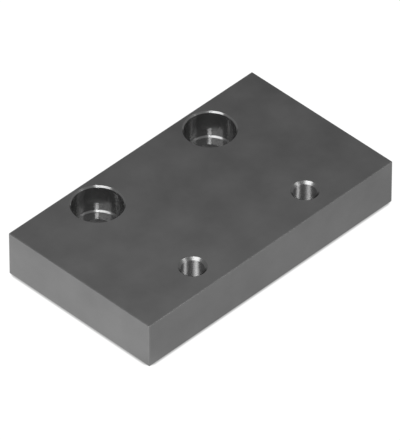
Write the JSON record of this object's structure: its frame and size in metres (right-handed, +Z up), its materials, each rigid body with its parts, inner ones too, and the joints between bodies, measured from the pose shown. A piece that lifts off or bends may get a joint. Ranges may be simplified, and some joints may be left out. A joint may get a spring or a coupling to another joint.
{
  "type": "sensor adapter plate",
  "caption": "Flat rectangular steel plate with a row of counterbored screw holes and a row of countersunk tapped holes, for fixing a sensor to a machine.",
  "frame": {"origin": "centre of the base face, where the plate lies on the machine", "axes": "+X along the plate's length, +Y towards the counterbored row, +Z up out of the face that carries the sensor"},
  "size_m": [0.065, 0.037, 0.01],
  "materials": {
    "plate_steel": "dark burnished (black oxide), satin, hole walls brighter"
  },
  "bodies": {
    "root": {"adapter_plate": "plate_steel"}
  },
  "joints": []
}
